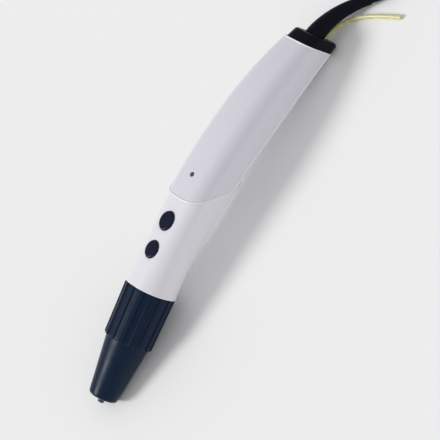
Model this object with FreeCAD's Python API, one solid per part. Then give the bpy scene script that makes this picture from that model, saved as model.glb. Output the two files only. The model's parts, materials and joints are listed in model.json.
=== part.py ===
import FreeCAD, Part
import math
import os
from FreeCAD import Placement, Rotation
from FreeCAD import Vector as V

# Slim handheld 3-D drawing pen, lying on its belly. All sizes are in millimetres.
# The pen is built round a spine: straight in the tip, then a gentle arc to the rear.
# s is the distance along the spine from the tip cover's front face, n is the height above
# the spine, and y is the sideways distance. At rest +X runs from the tip to the rear.

# Spine
TIP_LENGTH = 46.0
BODY_LENGTH = 112.5
BOW_RADIUS = 240.0

# Housing
WALL = 1.6
SIDE_CROWN_R = 45.0
FRONT_HALF = 10.0
GRIP_HALF = 9.3
WAIST_HALF = 9.3
BELLY_HALF = 9.7
SHOULDER_HALF = 9.1
REAR_HALF = 7.8
GRIP_AT = 16.0
WAIST_AT = 36.0
BELLY_AT = 66.0
SHOULDER_AT = 94.0
CORNER_SHARE = 0.60
LID_PROUD = 0.5
SEAM_GAP = 0.3
SEAM_HEIGHT = -3.6
LID_NOSE_AHEAD = 9.4
LID_LOW_AHEAD = 2.0
LID_LOW_HEIGHT = 1.2
LID_TURN_BEHIND = 1.2
LID_TURN_HEIGHT = -2.3
LID_SIDE_BEHIND = 7.0
REAR_TILT = 27.0
NOTCH_AHEAD_OF_REAR = 34.0
NOTCH_LENGTH = 2.6
NOTCH_HEIGHT = 0.9
NOTCH_DEPTH = 0.8

# Tip cover
TIP_FACE_R = 5.9
TIP_STEP_AT = 24.0
TIP_STEP_R = 8.75
TIP_STEP_RISE = 0.45
COLLAR_REAR_R = 9.7
TIP_WALL = 1.5
TIP_HOLE_R = 3.6
TIP_FACE_EDGE = 1.2
RIB_COUNT = 14
RIB_HEIGHT = 0.55
RIB_WIDTH = 2.1
SPIGOT_LENGTH = 5.0

# Rear cap
CAP_THICKNESS = 4.6
CAP_INSET = 0.35
CAP_EDGE_R = 1.3
CAP_SPIGOT_LENGTH = 4.0
CAP_SPIGOT_WALL = 1.2
CAP_CLEARANCE = 0.15

# Buttons, light and control board
REAR_BUTTON_OFFSET = 0.8
FRONT_BUTTON_OFFSET = -10.9
REAR_BUTTON_SIZE = (7.7, 6.2)
FRONT_BUTTON_SIZE = (7.1, 5.7)
BUTTON_PROUD = 0.8
BUTTON_EDGE_R = 0.55
BUTTON_CLEARANCE = 0.2
BUTTON_TRAVEL = 0.4
BUTTON_FLANGE = 0.7
BUTTON_FLANGE_RIM = 0.7
FLANGE_CLEARANCE = 0.7
LIGHT_FROM_BOARD_END = 2.0
LIGHT_R = 0.9
BOARD_BEHIND_TIP = 4.0
BOARD_AHEAD_OF_SCREWS = 4.6
BOARD_WIDTH = 14.6
BOARD_THICKNESS = 1.0
BOARD_TOP = 3.4
SWITCH_SIDE = 4.4
SWITCH_HEIGHT = 2.0
PLUNGER_R = 1.0
PLUNGER_CLEARANCE = 0.12
PLUNGER_DEPTH = 0.7
PLUNGER_SPARE = 0.1

# Hot end
NOZZLE_OUT = 2.0
NOZZLE_TIP_R = 1.25
NOZZLE_TIP_LENGTH = 1.6
NOZZLE_ORIFICE_R = 0.35
NOZZLE_R = 3.0
NOZZLE_CONE_END = 1.8
NOZZLE_LENGTH = 8.0
MELT_BORE_R = 1.05
BARREL_R = 2.2
BARREL_END = 27.0
HEATER_R = 3.6
HEATER_START = 9.0
HEATER_END = 21.0
SLEEVE_R = 4.5
SLEEVE_START = 23.0
SLEEVE_END = 36.0
HOLDER_START = 29.0
HOLDER_REACH = 10.0
THERMISTOR_R = 0.6
THERMISTOR_LENGTH = 2.4
BEAD_AT = 15.0

# Drive: gear motor, feed screw, idler and lever
DRIVE_AHEAD_OF_REAR = 38.5
DRIVE_HEIGHT = 2.4
MOTOR_R = 4.0
MOTOR_START = 6.0
MOTOR_LENGTH = 15.5
GEARBOX_START = -4.0
RING_TEETH = 30
SUN_TEETH = 12
PLANET_TEETH = 9
PLANETS = 3
GEAR_MODULE = 0.2
GEAR_WIDTH = 2.6
GEAR_BACKLASH = 0.06
SCREW_R = 3.6
SCREW_ROOT_R = 3.05
SCREW_LENGTH = 8.0
SCREW_START = -13.6
SCREW_LOBES = 8
SCREW_TURNS = 0.5
SCREW_SHAFT_R = 1.2
SCREW_GRIP_GAP = 0.03
FEEDER_START = -17.5
FEEDER_END = -3.4
FEEDER_HALF_WIDTH = 6.0
BUSH_R = 2.2
RUNNING_GAP = 0.05
IDLER_R = 2.3
IDLER_WIDTH = 2.4
IDLER_PIN_R = 0.75
LEVER_CHEEK = 0.8
LEVER_PIVOT = (-15.2, -5.6)
LEVER_OPENS = 3.0

# Filament path
FILAMENT_R = 0.875
GUIDE_BORE_R = 1.0
GUIDE_R = 1.5
GUIDE_CLEARANCE = 0.15
GUIDE_DIP_START = 2.0
GUIDE_DIP_END = 2.0
GUIDE_STRAIGHT = 9.0
INLET_HEIGHT = -4.2
INLET_R = 1.3

# Power inlet and plug
JACK_HEIGHT = 1.6
JACK_SIZE = (9.0, 7.0, 6.2)
JACK_SETBACK = 2.6
JACK_BOARD_THICKNESS = 0.6
JACK_BOARD_OVERHANG = 0.8
PLUG_R = 3.7
PLUG_HOLE_GAP = 0.1
PLUG_BARREL_R = 1.75
PLUG_BARREL_LENGTH = 8.6
PLUG_PIN_R = 0.6
PLUG_LENGTH = 4.0
BOOT_LENGTH = 24.0
BOOT_END_R = 2.0
BOOT_TURN = 50.0
BOOT_DROP = 0.15
CABLE_R = 1.5

# Screws
SCREWS_AHEAD_OF_DRIVE = 21.4
SCREW_SIDE = 5.2
SCREW_BOSS_R = 2.1
SCREW_SHANK_R = 1.0
SCREW_HOLE_GAP = 0.15
SCREW_HEAD_R = 1.9
SCREW_HEAD_HEIGHT = 1.3
SCREW_DEPTH = 7.0
SCREW_SEAT = 1.6

# Cable hank, tie and far plug
HANK_AT = 176.0
HANK_RUN = 52.0
HANK_HALF_LOOPS = 3
HANK_LAYERS = 4
HANK_INNER_HALF = 8.3
HANK_LANE = 3.6
HANK_LAYER = 3.45
HANK_WAIST = 2.6
HANK_TAIL = 6.0
TIE_WIDTH = 9.0
TIE_THICKNESS = 0.8
TIE_GAP = 0.15
USB_BODY = (24.0, 15.6, 7.8)
USB_SHELL = (18.6, 12.0, 4.5)
USB_SHELL_WALL = 0.35
USB_TONGUE = (8.0, 10.0, 1.8)
USB_RELIEF = 9.0
USB_SIDE = 4.4

# Route of the cable's lead after the boot, in the resting frame: hand-chosen points.
CABLE_LEAD = [
    (112.5, -17.9, 2.0),
    (120.2, -19.8, 1.9),
    (129.2, -18.7, 2.1),
]
CABLE_LANDING = 9.0
CABLE_STRAIGHT = 6.0

# Route of the free filament strand after the inlet, in the resting frame: hand-chosen points.
STRAND_STRAIGHT = 4.2
STRAND_ROUTE = [
    (90.1, -1.45, 0.95),
    (93.9, -4.9, 0.88),
    (97.2, -10.7, 0.88),
    (100.3, -18.1, 0.88),
    (102.6, -25.2, 0.88),
]

PARTS = "parts"

# Places along the spine
REAR_AT = TIP_LENGTH + BODY_LENGTH
DRIVE_AT = REAR_AT - DRIVE_AHEAD_OF_REAR
SCREW_AT = DRIVE_AT - SCREWS_AHEAD_OF_DRIVE
BOARD_START = TIP_LENGTH + BOARD_BEHIND_TIP
BOARD_END = SCREW_AT - BOARD_AHEAD_OF_SCREWS
BOARD_LENGTH = BOARD_END - BOARD_START
BOARD_AT = (BOARD_START + BOARD_END) / 2
REAR_BUTTON_AT = BOARD_AT + REAR_BUTTON_OFFSET
FRONT_BUTTON_AT = BOARD_AT + FRONT_BUTTON_OFFSET
LIGHT_AT = BOARD_END - LIGHT_FROM_BOARD_END
LID_NOSE_AT = LIGHT_AT - LID_NOSE_AHEAD
LID_SIDE_AT = LIGHT_AT + LID_SIDE_BEHIND
NOTCH_AT = REAR_AT - NOTCH_AHEAD_OF_REAR

X_AXIS = V(1, 0, 0)
Y_AXIS = V(0, 1, 0)
Z_AXIS = V(0, 0, 1)


# Frames along the spine

def spine_angle(s):
    """Turn of the spine at s, in radians: 0 in the straight tip, growing along the arc."""
    return max(0.0, s - TIP_LENGTH) / BOW_RADIUS


def frame_at(s, n=0.0, y=0.0):
    """Placement at s along the spine: x rearwards, z along the normal."""
    turn = spine_angle(s)
    if s <= TIP_LENGTH:
        base = V(s - TIP_LENGTH, 0, 0)
    else:
        base = V(BOW_RADIUS * math.sin(turn), 0, -BOW_RADIUS * (1 - math.cos(turn)))
    normal = V(math.sin(turn), 0, math.cos(turn))
    return Placement(base + normal * n + V(0, y, 0), Rotation(Y_AXIS, math.degrees(turn)))


def point_at(s, n=0.0, y=0.0):
    return frame_at(s, n, y).Base


def placed(shape, frame):
    moved = shape.copy()
    moved.Placement = frame.multiply(moved.Placement)
    return moved


# Basic solids, each along local +X unless its name says otherwise

def rod(radius, start, end, y=0.0, z=0.0):
    return Part.makeCylinder(radius, end - start, V(start, y, z), X_AXIS)


def pipe(outer, inner, start, end, y=0.0, z=0.0):
    return rod(outer, start, end, y, z).cut(rod(inner, start - 1, end + 1, y, z))


def block(x0, x1, width, z0, z1, y=0.0):
    return Part.makeBox(x1 - x0, width, z1 - z0, V(x0, y - width / 2, z0))


def turned(profile):
    """Solid of revolution about X from (x, radius) corners."""
    points = [V(x, 0, r) for x, r in profile]
    face = Part.Face(Part.makePolygon(points + [points[0]]))
    return face.revolve(V(0, 0, 0), X_AXIS, 360)


def oval_prism(length, width, z0, z1, x=0.0):
    ellipse = Part.Ellipse(V(x, 0, z0), length / 2, width / 2)
    return Part.Face(Part.Wire(ellipse.toShape())).extrude(V(0, 0, z1 - z0))


def arc(a, b, c):
    return Part.Arc(a, b, c).toShape()


# Rounded-square sections of the housing

def section_wire(half, corner, crown, frame):
    """Eight tangent arcs: four crowned sides and four corners."""
    share = (crown - half) / (crown - corner)
    side = math.acos(share / math.sqrt(2)) - math.pi / 4
    centre = (crown - corner) * math.sin(side)
    edges = []
    for k in range(4):
        spin = Rotation(X_AXIS, -90 * k)

        def at(y, z, spin=spin):
            return frame.multVec(spin.multVec(V(0, y, z)))

        reach = crown * math.sin(side)
        rise = half - crown + crown * math.cos(side)
        diagonal = centre + corner / math.sqrt(2)
        edges.append(arc(at(-reach, rise), at(0, half), at(reach, rise)))
        edges.append(arc(at(reach, rise), at(diagonal, diagonal), at(rise, reach)))
    return Part.Wire(edges)


def body_halves():
    """(s, half width) of the housing from the tip cover to behind the rear."""
    beyond = 14.0
    return [
        (TIP_LENGTH, FRONT_HALF),
        (TIP_LENGTH + GRIP_AT, GRIP_HALF),
        (TIP_LENGTH + WAIST_AT, WAIST_HALF),
        (TIP_LENGTH + BELLY_AT, BELLY_HALF),
        (TIP_LENGTH + SHOULDER_AT, SHOULDER_HALF),
        (REAR_AT, REAR_HALF),
        (REAR_AT + beyond, REAR_HALF - 0.5),
    ]


def half_at(s):
    """Half width of the housing at s, between the stations."""
    stations = body_halves()
    for (s0, h0), (s1, h1) in zip(stations, stations[1:]):
        if s0 <= s <= s1:
            return h0 + (h1 - h0) * (s - s0) / (s1 - s0)
    return stations[-1][1]


def housing_solid(offset):
    """The housing's outline as one solid, grown by offset."""
    wires = []
    for k, (s, half) in enumerate(body_halves()):
        corner = half - 0.9 if k == 0 else half * CORNER_SHARE
        if k == 1:
            corner = half * (CORNER_SHARE + 0.2)
        size = half + offset
        wires.append(section_wire(size, max(1.0, corner + offset), SIDE_CROWN_R, frame_at(s)))
    return Part.makeLoft(wires, True, False)


def rear_slab(start, end):
    """Slab between two planes square to the tilted rear face, start and end behind it."""
    reach = 40.0
    slab = Part.makeBox(end - start, reach, reach, V(start, -reach / 2, -reach / 2))
    tilt = Placement(V(0, 0, 0), Rotation(Y_AXIS, -REAR_TILT))
    return placed(placed(slab, tilt), frame_at(REAR_AT))


def lid_region(grow):
    """Prism over the lid's side outline, grown past the seam by grow."""
    high = 2 * BELLY_HALF
    far = REAR_AT + 30.0
    level = SEAM_HEIGHT - grow
    middle = (LID_SIDE_AT + far) / 2

    def flat(s, n):
        return point_at(s, n, -2 * BELLY_HALF)

    low_s, low_n = LIGHT_AT - LID_LOW_AHEAD, LID_LOW_HEIGHT
    turn_s, turn_n = LIGHT_AT + LID_TURN_BEHIND, LID_TURN_HEIGHT
    top = flat(LID_NOSE_AT - grow, WAIST_HALF)
    low = flat(low_s - grow, low_n)
    lean = (top - low).normalize()
    peak = low + lean * high
    edges = [
        Part.makeLine(peak, low),
        arc(low, flat(turn_s - grow * 0.7, turn_n - grow * 0.7), flat(LID_SIDE_AT, level)),
        arc(flat(LID_SIDE_AT, level), flat(middle, level), flat(far, level)),
        Part.makeLine(flat(far, level), flat(far, high)),
        Part.makeLine(flat(far, high), peak),
    ]
    return Part.Face(Part.Wire(edges)).extrude(V(0, 4 * BELLY_HALF, 0))


# Routes: straight runs joined by tangent arcs

def rounded_route(points, share=0.45):
    """Wire through the points with an arc at each corner, and the radii of the arcs."""
    edges = []
    radii = []
    start = points[0]
    for before, corner, after in zip(points, points[1:], points[2:]):
        back = before - corner
        ahead = after - corner
        turn = math.pi - back.getAngle(ahead)
        take = share * min(back.Length, ahead.Length)
        back.normalize()
        ahead.normalize()
        if turn < 1e-4:
            continue
        radius = take / math.tan(turn / 2)
        enter = corner + back * take
        leave = corner + ahead * take
        inward = (back + ahead).normalize()
        depth = math.hypot(take, radius) - radius
        edges.append(Part.makeLine(start, enter))
        edges.append(arc(enter, corner + inward * depth, leave))
        radii.append(radius)
        start = leave
    edges.append(Part.makeLine(start, points[-1]))
    return Part.Wire(edges), radii


def swept(wire, radius):
    """Round bar along a wire."""
    first = wire.Edges[0]
    start = first.valueAt(first.FirstParameter)
    along = first.tangentAt(first.FirstParameter)
    ring = Part.Wire(Part.Circle(start, along, radius).toShape())
    return wire.makePipeShell([ring], True, False)


def between(a, b, share):
    return a + (b - a) * share


# Drive frame: x along the motor's axis, the origin on the spine

def drive_frame(z=0.0, x=0.0, y=0.0):
    frame = frame_at(DRIVE_AT)
    return frame.multiply(Placement(V(x, y, z), Rotation()))


def drive_axis():
    return drive_frame(DRIVE_HEIGHT)


def filament_height():
    """Height of the filament under the feed screw, in the drive frame."""
    return DRIVE_HEIGHT - SCREW_R - SCREW_GRIP_GAP - FILAMENT_R


def passing_height():
    """Height at which the inlet guide passes under the motor."""
    return DRIVE_HEIGHT - MOTOR_R - GUIDE_R - GUIDE_CLEARANCE - 0.1


def filament_points():
    """Corners of the filament's path from the hot end to the rear face, in order."""
    low = filament_height()
    under = passing_height()
    rear = frame_at(REAR_AT + CAP_THICKNESS / math.cos(math.radians(REAR_TILT))
                    - INLET_HEIGHT * math.tan(math.radians(REAR_TILT)), INLET_HEIGHT)
    return [
        point_at(BEAD_AT, 0),
        point_at(TIP_LENGTH - 4, 0),
        point_at(TIP_LENGTH + 12, -2.2),
        point_at(TIP_LENGTH + 36, -3.0),
        drive_frame(low, FEEDER_START - 1.5).Base,
        drive_frame(low, GEARBOX_START - GUIDE_DIP_START).Base,
        drive_frame(under, GEARBOX_START + GUIDE_DIP_END).Base,
        drive_frame(under, MOTOR_START + MOTOR_LENGTH - 2).Base,
        point_at(REAR_AT - GUIDE_STRAIGHT, INLET_HEIGHT),
        rear.Base,
    ]


# Housing pieces

def screw_frames():
    return [frame_at(SCREW_AT, 0, side) for side in (-SCREW_SIDE, SCREW_SIDE)]


def post_foot():
    """Height at which the lid's screw posts stand on the housing's bosses."""
    return SEAM_HEIGHT + 0.2


def belly_depth():
    return -half_at(SCREW_AT)


def board_frame():
    return frame_at(BOARD_AT, BOARD_TOP)


def button_spot(s):
    """Where a button's axis meets the housing's top, in the board frame."""
    return board_frame().inverse().multVec(point_at(s, half_at(s)))


def button_hole(s, size, gap):
    spot = button_spot(s)
    hole = oval_prism(size[0] + 2 * gap, size[1] + 2 * gap, 1.0, spot.z + 4, spot.x)
    return placed(hole, board_frame())


def lower_housing(outline, core):
    shell = outline.cut(core).cut(rear_slab(0.0, 60.0)).cut(lid_region(SEAM_GAP))
    spigot = pipe(FRONT_HALF - TIP_WALL, HOLDER_REACH - 3.2, -SPIGOT_LENGTH, 1.5)
    shell = shell.fuse(spigot)
    for s, size in ((REAR_BUTTON_AT, REAR_BUTTON_SIZE), (FRONT_BUTTON_AT, FRONT_BUTTON_SIZE)):
        shell = shell.cut(button_hole(s, size, BUTTON_CLEARANCE))
    floor = belly_depth()
    for frame in screw_frames():
        boss = Part.makeCylinder(SCREW_BOSS_R + 0.5, post_foot() - floor, V(0, 0, floor))
        shell = shell.fuse(placed(boss, frame).common(outline))
    for frame in screw_frames():
        hole = Part.makeCylinder(SCREW_SHANK_R + SCREW_HOLE_GAP, BELLY_HALF, V(0, 0, floor - 1))
        seat = Part.makeCylinder(SCREW_HEAD_R + SCREW_HOLE_GAP, SCREW_SEAT + 2, V(0, 0, floor - 2))
        shell = shell.cut(placed(hole, frame)).cut(placed(seat, frame))
    shell = shell.cut(control_board())
    side = -half_at(NOTCH_AT)
    notch = block(-NOTCH_LENGTH / 2, NOTCH_LENGTH / 2, 2 * NOTCH_DEPTH,
                  SEAM_HEIGHT - SEAM_GAP - NOTCH_HEIGHT, SEAM_HEIGHT + 1, side)
    return shell.cut(placed(notch, frame_at(NOTCH_AT)))


def top_cover(outline, core):
    shell = outline.cut(core).cut(rear_slab(0.0, 60.0)).common(lid_region(0.0))
    lift = post_foot()
    for frame in screw_frames():
        post = Part.makeCylinder(SCREW_BOSS_R, BELLY_HALF - lift, V(0, 0, lift))
        pilot = Part.makeCylinder(SCREW_SHANK_R - 0.1, SCREW_DEPTH, V(0, 0, lift - 1))
        shell = shell.fuse(placed(post, frame).common(outline)).cut(placed(pilot, frame))
    hole = Part.makeCylinder(LIGHT_R + 0.05, 2 * WALL + 2, V(0, 0, half_at(LIGHT_AT) - WALL - 1))
    shell = shell.cut(placed(hole, frame_at(LIGHT_AT)))
    return shell.cut(control_board())


def housing_screws():
    floor = belly_depth() + SCREW_SEAT
    screws = []
    for frame in screw_frames():
        head = Part.makeCylinder(SCREW_HEAD_R, SCREW_HEAD_HEIGHT, V(0, 0, floor - SCREW_HEAD_HEIGHT))
        slot = block(-SCREW_HEAD_R, SCREW_HEAD_R, 0.5, floor - SCREW_HEAD_HEIGHT - 1,
                     floor - SCREW_HEAD_HEIGHT + 0.6)
        cross = placed(slot, Placement(V(0, 0, 0), Rotation(Z_AXIS, 90)))
        tip = SEAM_HEIGHT + SCREW_DEPTH - 2.0
        shank = Part.makeCylinder(SCREW_SHANK_R - 0.12, tip - floor, V(0, 0, floor))
        screws.append(placed(head.cut(slot).cut(cross).fuse(shank), frame))
    return Part.makeCompound(screws)


def tip_cover():
    """Ribbed cone over the hot end, in the straight part of the spine."""
    face, step, rear = 0.0, TIP_STEP_AT, TIP_LENGTH - 0.15
    outer = turned([
        (face, 0), (face, TIP_FACE_R - TIP_FACE_EDGE), (face + TIP_FACE_EDGE * 0.35, TIP_FACE_R - 0.35),
        (face + TIP_FACE_EDGE, TIP_FACE_R), (step, TIP_STEP_R),
        (step + TIP_STEP_RISE, TIP_STEP_R + TIP_STEP_RISE), (rear, COLLAR_REAR_R), (rear, 0),
    ])
    slope = (TIP_STEP_R - TIP_FACE_R) / step
    outer = outer.fuse(ribs(step, rear))
    outer = outer.common(turned([
        (face - 1, 0), (face - 1, FRONT_HALF + RIB_HEIGHT), (rear - 0.5, FRONT_HALF + RIB_HEIGHT),
        (rear, FRONT_HALF + RIB_HEIGHT - 0.5), (rear, 0),
    ]))
    inner = turned([
        (face - 1, 0), (face - 1, TIP_HOLE_R), (face + TIP_WALL, TIP_HOLE_R),
        (face + TIP_WALL, TIP_FACE_R - TIP_WALL), (step, TIP_FACE_R - TIP_WALL + slope * step),
        (rear - SPIGOT_LENGTH, COLLAR_REAR_R - TIP_WALL - 0.3),
        (rear - SPIGOT_LENGTH, FRONT_HALF - TIP_WALL), (rear + 1, FRONT_HALF - TIP_WALL),
        (rear + 1, 0),
    ])
    return placed(outer.cut(inner), Placement(V(-TIP_LENGTH, 0, 0), Rotation()))


def ribs(step, rear):
    """Round-nosed finger ribs round the collar."""
    bars = []
    base = TIP_STEP_R + TIP_STEP_RISE
    start = step + TIP_STEP_RISE
    lean = math.degrees(math.atan2(COLLAR_REAR_R - base, rear - start))
    for k in range(RIB_COUNT):
        length = rear + 2 - start
        bar = Part.makeBox(length, RIB_WIDTH, 3.0, V(0, -RIB_WIDTH / 2, RIB_HEIGHT - 3.0))
        bar = bar.makeFillet(RIB_HEIGHT * 0.8, [e for e in bar.Edges if on_top(e, RIB_HEIGHT)])
        bar = placed(bar, Placement(V(start - RIB_HEIGHT * 0.4, 0, base), Rotation(Y_AXIS, -lean)))
        bars.append(placed(bar, Placement(V(0, 0, 0), Rotation(X_AXIS, 360.0 * k / RIB_COUNT))))
    fused = bars[0]
    for bar in bars[1:]:
        fused = fused.fuse(bar)
    return fused


def on_top(edge, height):
    """True for the two long top edges and the front top edge of a rib."""
    box = edge.BoundBox
    return box.ZMin > height - 1e-6 and box.XMin < 1e-6


def rear_cap():
    outline = housing_solid(-CAP_INSET)
    plate = outline.common(rear_slab(0.0, CAP_THICKNESS))
    plate = soften(plate, CAP_EDGE_R, behind_plane)
    fit = WALL + CAP_CLEARANCE
    ring = housing_solid(-fit).cut(housing_solid(-fit - CAP_SPIGOT_WALL))
    reach = 2 * REAR_HALF
    channel = rod(GUIDE_R + GUIDE_CLEARANCE, -reach, reach, 0, INLET_HEIGHT)
    ring = ring.common(rear_slab(-CAP_SPIGOT_LENGTH, 0.2)).cut(placed(channel, frame_at(REAR_AT)))
    plug = rod(PLUG_R + PLUG_HOLE_GAP, -reach, reach, 0, JACK_HEIGHT)
    inlet = rod(INLET_R, -reach, reach, 0, INLET_HEIGHT)
    cap = plate.fuse(ring)
    return cap.cut(placed(plug, frame_at(REAR_AT))).cut(placed(inlet, frame_at(REAR_AT)))


def behind_plane(edge):
    """True for the rim edges of the cap's rear face."""
    frame = frame_at(REAR_AT).multiply(Placement(V(0, 0, 0), Rotation(Y_AXIS, -REAR_TILT)))
    back = frame.inverse()
    ends = [back.multVec(v.Point).x for v in edge.Vertexes]
    return min(ends) > CAP_THICKNESS - 1e-3


def soften(shape, radius, chosen):
    """Fillets the edges that chosen picks."""
    edges = [e for e in shape.Edges if chosen(e)]
    return shape.makeFillet(radius, edges)


# Buttons and electronics

def button(s, size):
    spot = button_spot(s)
    bottom = spot.z - WALL - FLANGE_CLEARANCE - BUTTON_FLANGE
    stem = oval_prism(size[0], size[1], bottom, spot.z + BUTTON_PROUD, spot.x)
    top = [e for e in stem.Edges if e.BoundBox.ZMin > spot.z]
    stem = stem.makeFillet(BUTTON_EDGE_R, top)
    rim = BUTTON_FLANGE_RIM
    flange = oval_prism(size[0] + 2 * rim, size[1] + 2 * rim, bottom, bottom + BUTTON_FLANGE, spot.x)
    return placed(stem.fuse(flange), board_frame())


def button_bottom(s):
    return button_spot(s).z - WALL - FLANGE_CLEARANCE - BUTTON_FLANGE


def plunger(s):
    """Switch plunger under a button, from inside the switch to the button's flange."""
    spot = button_spot(s)
    low = SWITCH_HEIGHT - PLUNGER_DEPTH + BUTTON_TRAVEL + PLUNGER_SPARE
    stem = Part.makeCylinder(PLUNGER_R, button_bottom(s) - low, V(spot.x, 0, low))
    return placed(stem, board_frame())


def switches():
    bases = []
    for s in (REAR_BUTTON_AT, FRONT_BUTTON_AT):
        x = button_spot(s).x
        base = block(x - SWITCH_SIDE / 2, x + SWITCH_SIDE / 2, SWITCH_SIDE, 0, SWITCH_HEIGHT)
        well = Part.makeCylinder(PLUNGER_R + PLUNGER_CLEARANCE, SWITCH_HEIGHT,
                                 V(x, 0, SWITCH_HEIGHT - PLUNGER_DEPTH))
        bases.append(placed(base.cut(well), board_frame()))
    return Part.makeCompound(bases)


def control_board():
    board = block(-BOARD_LENGTH / 2, BOARD_LENGTH / 2, BOARD_WIDTH, -BOARD_THICKNESS, 0)
    board = board.makeFillet(1.0, [e for e in board.Edges if e.BoundBox.ZLength > 0.9 * BOARD_THICKNESS])
    return placed(board, board_frame())


def board_chips():
    """Controller, driver and passives on the board's underside."""
    under = -BOARD_THICKNESS
    chips = [block(-3.0, 2.0, 4.4, under - 1.1, under), block(6.5, 10.0, 3.0, under - 1.0, under)]
    for k in range(5):
        x = -16.0 + 2.6 * k
        chips.append(block(x, x + 1.6, 0.8, under - 0.6, under, 3.4))
    return placed(Part.makeCompound(chips), board_frame())


def light_lens():
    high = half_at(LIGHT_AT) + LID_PROUD
    lens = Part.makeCylinder(LIGHT_R, WALL + 0.3, V(0, 0, high - WALL - 0.3))
    foot = Part.makeCylinder(LIGHT_R + 0.5, 0.6, V(0, 0, high - WALL - LID_PROUD - 0.62))
    stem = Part.makeCylinder(LIGHT_R - 0.1, 1.2, V(0, 0, high - WALL - LID_PROUD - 0.9))
    return placed(lens.fuse(foot).fuse(stem), frame_at(LIGHT_AT))


def light_emitter():
    spot = board_frame().inverse().multVec(point_at(LIGHT_AT, half_at(LIGHT_AT)))
    return placed(block(spot.x - 0.8, spot.x + 0.8, 1.0, 0, 0.7), board_frame())


def light_guide():
    """Clear rod that carries the light from the board to the lens."""
    lens_foot = point_at(LIGHT_AT, half_at(LIGHT_AT) - WALL - 0.9)
    spot = board_frame().inverse().multVec(lens_foot)
    guide = Part.makeCylinder(LIGHT_R - 0.2, spot.z - 0.05 - 0.7, V(spot.x, 0, 0.7))
    return placed(guide, board_frame())


# Hot end, built along the straight tip

def in_tip(shape):
    return placed(shape, Placement(V(-TIP_LENGTH, 0, 0), Rotation()))


def nozzle():
    front = -NOZZLE_OUT
    body = turned([
        (front, 0), (front, NOZZLE_TIP_R - 0.25), (front + 0.25, NOZZLE_TIP_R),
        (front + NOZZLE_TIP_LENGTH, NOZZLE_TIP_R), (NOZZLE_CONE_END, NOZZLE_R),
        (NOZZLE_LENGTH, NOZZLE_R), (NOZZLE_LENGTH, 0),
    ])
    body = body.cut(rod(NOZZLE_ORIFICE_R, front - 1, NOZZLE_LENGTH))
    melt = turned([(0.2, 0), (0.2, NOZZLE_ORIFICE_R), (0.9, MELT_BORE_R),
                   (NOZZLE_LENGTH + 1, MELT_BORE_R), (NOZZLE_LENGTH + 1, 0)])
    socket = rod(BARREL_R, NOZZLE_LENGTH - 3.0, NOZZLE_LENGTH + 1)
    return in_tip(body.cut(melt).cut(socket))


def melt_barrel():
    return in_tip(pipe(BARREL_R, MELT_BORE_R, NOZZLE_LENGTH - 3.0, BARREL_END))


def heater_tube():
    return in_tip(pipe(HEATER_R, BARREL_R, HEATER_START, HEATER_END))


def thermistor():
    z = HEATER_R + 0.6 * THERMISTOR_R
    bead = rod(THERMISTOR_R, BEAD_AT, BEAD_AT + THERMISTOR_LENGTH, 0, z)
    return in_tip(bead.cut(rod(HEATER_R, HEATER_START, HEATER_END)))


def insulator_sleeve():
    """PTFE sleeve that keeps the heat out of the holder and lines the guide."""
    sleeve = turned([
        (SLEEVE_START, BARREL_R), (SLEEVE_START, SLEEVE_R), (SLEEVE_END, SLEEVE_R),
        (SLEEVE_END, GUIDE_R), (BARREL_END + 1.5, GUIDE_R), (BARREL_END + 1.5, GUIDE_BORE_R + 0.05),
        (BARREL_END, GUIDE_BORE_R + 0.05), (BARREL_END, BARREL_R),
    ])
    return in_tip(sleeve)


def hot_end_holder():
    """Flanged carrier that plugs into the housing's front spigot and grips the sleeve."""
    spigot = HOLDER_REACH - 3.2
    bore = SLEEVE_R
    rear = TIP_LENGTH + 1.5
    body = turned([
        (HOLDER_START, bore), (HOLDER_START, bore + 1.5), (TIP_LENGTH - SPIGOT_LENGTH - 1.6, bore + 1.5),
        (TIP_LENGTH - SPIGOT_LENGTH - 1.6, spigot + 0.7), (TIP_LENGTH - SPIGOT_LENGTH, spigot + 0.7),
        (TIP_LENGTH - SPIGOT_LENGTH, spigot), (rear, spigot), (rear, GUIDE_R + 1.1),
        (SLEEVE_END, GUIDE_R + 1.1), (SLEEVE_END, bore),
    ])
    return in_tip(body)


def feed_guide(points):
    """PTFE tube from the sleeve to the feeder."""
    start = point_at(BARREL_END + 1.5, 0)
    end = between(points[3], points[4], 0.86)
    wire, _ = rounded_route([start, points[1], points[2], points[3], end])
    return swept(wire, GUIDE_R).cut(swept(wire, GUIDE_BORE_R))


def inlet_guide(points):
    """PTFE tube from the feeder to the rear cap, under the motor."""
    start = between(points[6], points[7], 0.09)
    end = between(points[8], points[9], 0.95)
    wire, _ = rounded_route([start, points[7], points[8], end])
    tube = swept(wire, GUIDE_R).cut(swept(wire, GUIDE_BORE_R))
    return tube.cut(rear_slab(0.0, 60.0))


def loaded_filament(points):
    wire, _ = rounded_route(points)
    return swept(wire, FILAMENT_R)


# Drive train

def toothed_disc(teeth, module, tip_extra, root_extra, width, start, thin):
    """Straight-flanked gear along X with a tooth pointing along +Z."""
    pitch_r = module * teeth / 2
    tip_r = pitch_r + module + tip_extra
    root_r = pitch_r - 1.25 * module + root_extra
    half_pitch = math.pi / teeth
    half_tooth = half_pitch / 2 - thin / pitch_r
    half_root = min(1.7 * half_tooth, 0.9 * half_pitch)
    points = []
    for k in range(teeth):
        middle = 2 * half_pitch * k
        for radius, angle in (
            (root_r, middle - half_root), (tip_r, middle - half_tooth * 0.45),
            (tip_r, middle + half_tooth * 0.45), (root_r, middle + half_root),
        ):
            points.append(V(start, radius * math.sin(angle), radius * math.cos(angle)))
    face = Part.Face(Part.makePolygon(points + [points[0]]))
    return face.extrude(V(width, 0, 0))


def gear_start():
    return MOTOR_START - 1.2 - GEAR_WIDTH


def planet_orbit():
    return GEAR_MODULE * (SUN_TEETH + PLANET_TEETH) / 2


def planet_angle(k):
    return 360.0 * k / PLANETS


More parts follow.
